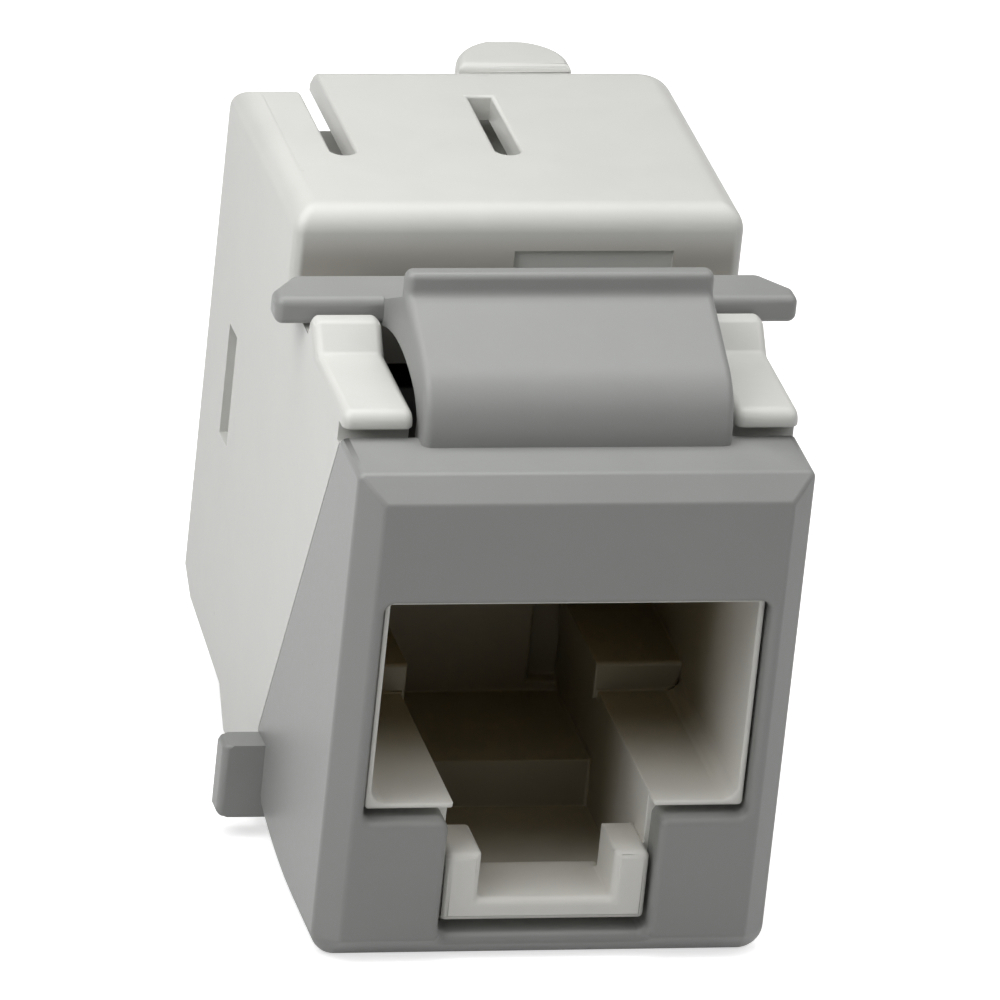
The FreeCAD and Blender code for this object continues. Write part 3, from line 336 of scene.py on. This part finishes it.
finishes = {
    "bezel_plastic": moulded_plastic("bezel_plastic", BEZEL_GREY, roughness=0.46),
    "housing_plastic": moulded_plastic("housing_plastic", HOUSING_GREY, roughness=0.42,
                                       paint_shade=paint_block_front_shade),
    "insert_plastic": moulded_plastic("insert_plastic", INSERT_WHITE, roughness=0.44,
                                      paint_shade=paint_socket_shade),
    "carrier_plastic": moulded_plastic("carrier_plastic", CARRIER_BLACK, roughness=0.40),
    "board": solder_mask("board"),
    "gold_contact": gold_plate("gold_contact"),
    "tinned_blade": tin_plate("tinned_blade"),
}


def dress(piece, slot):
    """Gives a piece the finish of its material slot."""
    piece.data.materials.clear()
    piece.data.materials.append(finishes[slot])


for part in frame["record"]["subparts"]:
    dress(frame["nodes"][part["node"]], part["material_slot"])


# Mouldings with soft edges ---------------------------------------------------------------------

HOUSING_EDGE = 0.12 * MM
CAP_EDGE = 0.08 * MM
EDGE_SEGMENTS = 3

MERGE_DISTANCE = 0.001 * MM
FLAT_ANGLE = math.radians(0.6)
SHARP_ANGLE = math.radians(30)
SMOOTH_ANGLE = math.radians(38)

# Cosine under which a neighbour is the same edge carried on past a corner, and sets no limit.
BACKWARD = -0.9
# Share of the free width beside an edge that its rounding may take.
ROOM_SHARE = 0.4
# Share of an edge's width by which a corner may stand off the moulding's surface.
STRAY_SHARE = 0.3


def both_sides(zone):
    """A zone on the left and its mirror image on the right."""
    (left, front, bottom), (right, rear, top) = zone
    return [zone, ((-right, front, bottom), (-left, rear, top))]


# Zones in which edges are rounded, each as two opposite corners in millimetres. Each reaches past
# the edges that it holds, and EVERYWHERE is the whole jack with 1 mm around it.
BEZEL_FRONT = [((-7.3, -0.1, -0.1), (7.3, 0.95, 16.2))]
BAR_ENDS = [((-8.7, 4.0, 16.6), (-5.35, 11.0, 20.6)), ((5.6, 4.0, 16.6), (8.7, 11.0, 20.6))]
LUGS = both_sides(((-8.7, 8.5, 0.4), (-7.35, 10.0, 3.6)))
LATCH_LIP = [((-5.1, 7.4, 19.3), (5.3, 9.5, 20.6))]
ARMS = both_sides(((-7.3, 3.0, 16.4), (-4.9, 11.0, 18.4)))
ROOF_SLOTS = [((-5.6, 15.0, 19.9), (5.6, 22.8, 20.5))]
EVERYWHERE = [([place / MM - 1 for place in cad_box[0]], [place / MM + 1 for place in cad_box[1]])]


def only(piece):
    """Makes one object the active and only selected one."""
    bpy.ops.object.select_all(action="DESELECT")
    piece.select_set(True)
    bpy.context.view_layer.objects.active = piece


def apply_modifier(piece, name, kind, **settings):
    """Adds a modifier to the active piece and applies it at once."""
    modifier = piece.modifiers.new(name, kind)
    for key, setting in settings.items():
        setattr(modifier, key, setting)
    bpy.ops.object.modifier_apply(modifier=name)


def free_width(corner, edge):
    """How far this edge can slide at one end before it meets a neighbour."""
    along = (edge.other_vert(corner).co - corner.co).normalized()
    widths = []
    for other in corner.link_edges:
        away = other.other_vert(corner).co - corner.co
        ahead = away.normalized().dot(along)
        if other is edge or ahead < BACKWARD:
            continue
        sideways = math.sqrt(max(0.0, 1 - ahead * ahead)) if ahead > 0 else 1.0
        widths.append(away.length * sideways)
    return min(widths, default=math.inf)


def inside(corner, zones):
    """Whether a corner lies in one of the zones."""
    return any(all(low <= place / MM <= high for low, place, high in zip(lowest, corner.co, highest))
               for lowest, highest in zones)


def bevel_weight(edge, width, zones):
    """0 on an edge that stays crisp, and up to 1 where there is room for the whole width."""
    sharp = edge.calc_face_angle(0.0) > SHARP_ANGLE
    if not sharp or not all(inside(corner, zones) for corner in edge.verts):
        return 0.0
    free = min(free_width(corner, edge) for corner in edge.verts)
    return min(1.0, ROOM_SHARE * free / width)


def weigh_edges(piece, width, zones):
    """Stores each edge's bevel weight on the piece."""
    shape = bmesh.new()
    shape.from_mesh(piece.data)
    weights = [bevel_weight(edge, width, zones) for edge in shape.edges]
    shape.free()
    piece.data.attributes.new("bevel_weight_edge", "FLOAT", "EDGE").data.foreach_set("value", weights)


def settle_strays(piece, source, width):
    """Lays any corner that the bevel threw off the moulding back on its surface."""
    surface = bmesh.new()
    surface.from_mesh(source.data)
    tree = BVHTree.FromBMesh(surface)
    strays = []
    for corner in piece.data.vertices:
        distance = tree.find_nearest(corner.co)[-1]
        if distance > STRAY_SHARE * width:
            strays.append(corner.index)
    surface.free()
    if strays:
        piece.vertex_groups.new(name="strays").add(strays, 1.0, "REPLACE")
        apply_modifier(piece, "settle", "SHRINKWRAP", target=source, vertex_group="strays")


def soft_copy(node, body, slot, width, zones, split=False):
    """Replaces a moulding by one closed skin, with the sharp edges in its zones rounded.

    split cuts every face into triangles first. Without it, a bevel on a face that runs around an
    opening can spill across that opening.
    """
    source = frame["nodes"][node]
    piece = bpy.data.objects.new(node + "_skin", source.data.copy())
    bpy.context.scene.collection.objects.link(piece)
    only(piece)
    bpy.ops.object.mode_set(mode="EDIT")
    bpy.ops.mesh.select_all(action="SELECT")
    bpy.ops.mesh.remove_doubles(threshold=MERGE_DISTANCE)
    bpy.ops.mesh.dissolve_limited(angle_limit=FLAT_ANGLE)
    if split:
        bpy.ops.mesh.quads_convert_to_tris(quad_method="BEAUTY", ngon_method="BEAUTY")
    bpy.ops.object.mode_set(mode="OBJECT")
    weigh_edges(piece, width, zones)
    apply_modifier(piece, "edges", "BEVEL", width=width, segments=EDGE_SEGMENTS, limit_method="WEIGHT",
                   use_clamp_overlap=False)
    settle_strays(piece, source, width)
    bpy.ops.object.shade_smooth_by_angle(angle=SMOOTH_ANGLE)
    apply_modifier(piece, "flats", "WEIGHTED_NORMAL", keep_sharp=True)
    dress(piece, slot)
    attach(piece, body)
    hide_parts(node)


soft_copy("front_housing", "jack", "bezel_plastic", HOUSING_EDGE,
          BEZEL_FRONT + LATCH_LIP + BAR_ENDS + LUGS)
soft_copy("rear_housing", "jack", "housing_plastic", HOUSING_EDGE, ROOF_SLOTS + ARMS)
soft_copy("port_insert", "jack", "insert_plastic", HOUSING_EDGE, EVERYWHERE, split=True)
soft_copy("wire_cap", "cap", "housing_plastic", CAP_EDGE, EVERYWHERE, split=True)


# Stage, lamps and camera -----------------------------------------------------------------------

WHITE = grey(1.0)
FLOOR_SIZE = 3.0
FLOOR_DARK = grey(0.86)
FLOOR_LIGHT = grey(0.88)
FLOOR_GLOW = 0.62
FLOOR_BOUNCE = grey(0.50)
ROOM_LEVEL = 0.06

LAMP_DISTANCE = 0.40
LAMP_SIZE = 0.28

# The point that the camera and the lamps face, and the camera's angles in degrees. Its azimuth is
# how far to the left of the jack's front it stands.
AIM = Vector((-0.00117, 0.0063, 0.0129))
CAMERA_AZIMUTH = 15.33
CAMERA_ELEVATION = 24.74
CAMERA_ROLL = 6.16
CAMERA_DISTANCE = 0.45
CAMERA_NEAREST = 0.01
CAMERA_LENS = 521.0
SENSOR_WIDTH = 36.0


def make_floor():
    """Pale floor that glows where it is seen, directly or mirrored, and is plain grey to other light."""
    bpy.ops.object.select_all(action="DESELECT")
    bpy.ops.mesh.primitive_plane_add(size=FLOOR_SIZE, location=(0, 0, 0))
    floor = bpy.context.object
    floor.name = "floor"
    finish = Finish("floor_paint")
    tone = finish.mix(finish.noise(size_mm=40.0), FLOOR_DARK, FLOOR_LIGHT)
    paint = finish.node("ShaderNodeBsdfDiffuse", {}, Color=tone)
    glow = finish.node("ShaderNodeEmission", {}, Color=WHITE, Strength=FLOOR_GLOW)
    lit = finish.node("ShaderNodeAddShader", {}, paint, glow)
    dull = finish.node("ShaderNodeBsdfDiffuse", {}, Color=FLOOR_BOUNCE)
    seen = finish.ray_is("Camera").larger(finish.ray_is("Glossy"))
    finish.show("ShaderNodeOutputMaterial", finish.node("ShaderNodeMixShader", {}, seen, dull, lit))
    floor.data.materials.append(finish.material)


def make_world():
    """White where it is seen, directly or through glass, and a dim room to other light."""
    world = bpy.data.worlds.new("studio")
    bpy.context.scene.world = world
    world.use_nodes = True
    graph = Graph(world.node_tree)
    room = graph.node("ShaderNodeBackground", {}, Color=WHITE, Strength=ROOM_LEVEL)
    white = graph.node("ShaderNodeBackground", {}, Color=WHITE)
    seen = graph.ray_is("Camera").larger(graph.ray_is("Transmission"))
    graph.show("ShaderNodeOutputWorld", graph.node("ShaderNodeMixShader", {}, seen, room, white))


def facing(way):
    """The turn that points a lamp or a camera along the way."""
    return way.to_track_quat("-Z", "Y")


def add_lamp(name, direction, power, distance=LAMP_DISTANCE, size=LAMP_SIZE):
    """Square soft box that stands in this direction from the object and faces it."""
    lamp = bpy.data.objects.new(name, bpy.data.lights.new(name, "AREA"))
    lamp.data.shape = "SQUARE"
    lamp.data.size = size
    lamp.data.energy = power
    way = Vector(direction).normalized()
    lamp.location = AIM + way * distance
    lamp.rotation_euler = facing(-way).to_euler()
    bpy.context.scene.collection.objects.link(lamp)


def make_camera():
    """Long lens that looks down on the jack from its front left."""
    azimuth = math.radians(CAMERA_AZIMUTH)
    elevation = math.radians(CAMERA_ELEVATION)
    back = Vector((-math.sin(azimuth) * math.cos(elevation), -math.cos(azimuth) * math.cos(elevation),
                   math.sin(elevation)))
    camera = bpy.data.objects.new("camera", bpy.data.cameras.new("camera"))
    camera.data.sensor_width = SENSOR_WIDTH
    camera.data.lens = CAMERA_LENS
    camera.data.clip_start = CAMERA_NEAREST
    camera.location = AIM + back * CAMERA_DISTANCE
    camera.rotation_mode = "QUATERNION"
    camera.rotation_quaternion = facing(-back) @ Quaternion((0, 0, 1), math.radians(CAMERA_ROLL))
    bpy.context.scene.collection.objects.link(camera)
    bpy.context.scene.camera = camera


make_floor()
make_world()
add_lamp("overhead", (0, 0.15, 1), power=0.92)
add_lamp("near_left", (-1.2, -0.2, 1.25), power=0.0142, distance=0.052, size=0.040)
add_lamp("left", (-0.8, -0.6, 0.9), power=0.27)
add_lamp("high_right", (1, 0.1, 1), power=0.30)
add_lamp("right_front", (0.8, -0.8, 1.2), power=0.23)
make_camera()
bpy.context.scene.view_settings.view_transform = "Standard"
